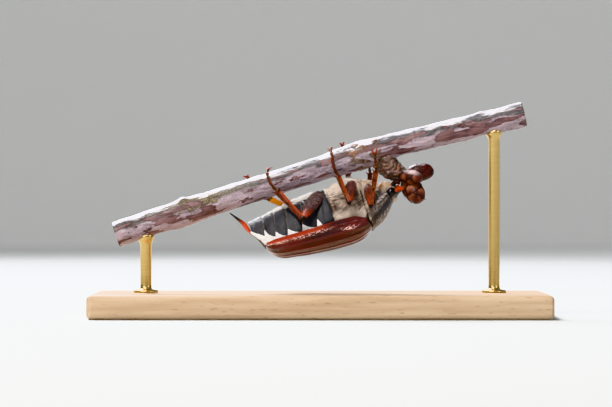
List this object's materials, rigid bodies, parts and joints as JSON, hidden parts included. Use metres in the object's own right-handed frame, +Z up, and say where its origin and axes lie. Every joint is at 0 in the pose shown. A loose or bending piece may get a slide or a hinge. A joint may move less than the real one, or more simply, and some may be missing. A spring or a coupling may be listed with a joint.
{
  "type": "may beetle model",
  "caption": "Still, life-size may beetle hanging back down under a cut cherry twig with buds, held by a plain display stand.",
  "frame": {"origin": "centre of the underside of the stand's base", "axes": "+X to the right along the base, the way the beetle's head points; +Y away from the viewer, towards the beetle's right side; +Z up"},
  "size_m": [0.076, 0.034, 0.0358],
  "materials": {
    "wing_case": "glossy ribbed chitin",
    "dark_plate": "dark chitin with fine flat hairs",
    "breast_coat": "long soft hairs",
    "leg": "smooth polished chitin",
    "eye": "polished black",
    "bark": "smooth cherry bark with ringed scars",
    "bud": "glossy overlapping bud scales",
    "stand_wood": "oiled beech",
    "stand_metal": "satin"
  },
  "bodies": {
    "root": {"abdomen": "dark_plate", "breast": "breast_coat", "bud_lower": "bud", "bud_middle": "bud", "bud_upper": "bud", "eye_left": "eye", "eye_right": "eye", "feeler_left": "leg", "feeler_right": "leg", "foot_front_left": "leg", "foot_front_right": "leg", "foot_hind_left": "leg", "foot_hind_right": "leg", "foot_middle_left": "leg", "foot_middle_right": "leg", "front_shield": "dark_plate", "head": "dark_plate", "palp_left": "leg", "palp_right": "leg", "scutellum": "dark_plate", "shin_front_left": "leg", "shin_front_right": "leg", "shin_hind_left": "leg", "shin_hind_right": "leg", "shin_middle_left": "leg", "shin_middle_right": "leg", "spur": "bark", "stand_base": "stand_wood", "stand_rod_left": "stand_metal", "stand_rod_right": "stand_metal", "tail_spike": "leg", "thigh_front_left": "leg", "thigh_front_right": "leg", "thigh_hind_left": "leg", "thigh_hind_right": "leg", "thigh_middle_left": "leg", "thigh_middle_right": "leg", "twig": "bark", "wing_case_left": "wing_case", "wing_case_right": "wing_case"}
  },
  "joints": []
}
